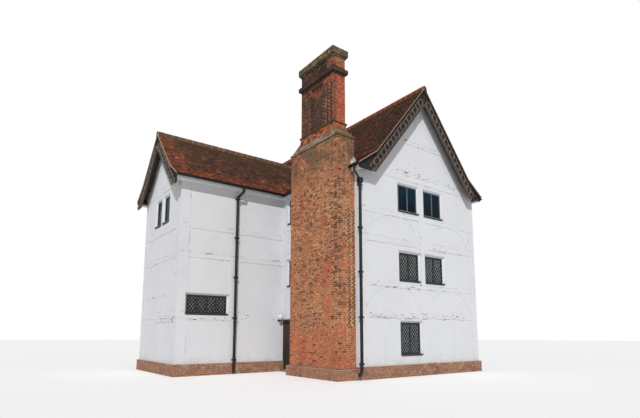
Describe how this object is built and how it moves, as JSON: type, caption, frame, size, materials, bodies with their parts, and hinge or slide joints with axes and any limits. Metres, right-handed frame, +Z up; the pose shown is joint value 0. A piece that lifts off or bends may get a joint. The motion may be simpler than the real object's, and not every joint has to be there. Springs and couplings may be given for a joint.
{
  "type": "half timbered house",
  "caption": "Half timbered house with two steep tiled ranges in an L, carved bargeboards, an outside brick stack and a hinged plank door.",
  "frame": {"origin": "middle of the house's box, on the ground", "axes": "+Z up, -Y to the front of the range's gable, -X to the end of the wing"},
  "size_m": [13.16, 11.59, 13.1],
  "materials": {
    "limewash": "limewashed lime plaster, matt",
    "limewashed_oak": "limewashed oak frame, matt",
    "brick": "old hand made brick with lime mortar",
    "stone": "worn stone",
    "clay_tile": "weathered plain clay tiles",
    "ridge_clay": "orange clay ridge tiles",
    "dark_oak": "weathered dark oak",
    "painted_frame": "dark painted window joinery",
    "window_glass": "old window glass",
    "black_iron": "black painted cast iron",
    "lead": "weathered lead sheet",
    "floor_boards": "oak boards",
    "lamp_glass": "opal glass"
  },
  "bodies": {
    "house": {"back_bargeboards": "dark_oak", "back_timbers": "limewashed_oak", "back_window_frames": "painted_frame", "back_window_glass": "window_glass", "brick_plinth": "brick", "chimney_cap": "stone", "chimney_shaft": "brick", "chimney_stack": "brick", "courtyard_timbers": "limewashed_oak", "courtyard_window_frames": "painted_frame", "courtyard_window_glass": "window_glass", "door_frame": "dark_oak", "door_pintles": "black_iron", "door_step": "stone", "downpipes": "black_iron", "eaves_boards": "limewash", "first_floor": "floor_boards", "front_bargeboards": "dark_oak", "front_timbers": "limewashed_oak", "front_window_frames": "painted_frame", "front_window_glass": "window_glass", "ground_floor": "stone", "gutters": "black_iron", "lamp_bracket": "black_iron", "lamp_globe": "lamp_glass", "lead_flashing": "lead", "range_back_wall": "limewash", "range_front_wall": "limewash", "range_ridge_tiles": "ridge_clay", "range_right_wall": "limewash", "range_roof_left": "clay_tile", "range_roof_right": "clay_tile", "return_wall": "limewash", "right_timbers": "limewashed_oak", "right_window_frames": "painted_frame", "right_window_glass": "window_glass", "second_floor": "floor_boards", "side_wall_beside_door": "limewash", "side_wall_over_door": "limewash", "wing_back_wall": "limewash", "wing_bargeboards": "dark_oak", "wing_front_wall": "limewash", "wing_gable_timbers": "limewashed_oak", "wing_gable_wall": "limewash", "wing_gable_window_frames": "painted_frame", "wing_gable_window_glass": "window_glass", "wing_ridge_tiles": "clay_tile", "wing_roof_back": "clay_tile", "wing_roof_front": "clay_tile"},
    "door": {"door_leaf": "dark_oak", "door_ironwork": "black_iron"}
  },
  "joints": [
    {"name": "door_hinge", "type": "hinge", "parent": "house", "child": "door", "pos_m": [-0.985, -1.181, 1.2], "axis": [0, 0, -1], "range_deg": [0, 100]}
  ]
}
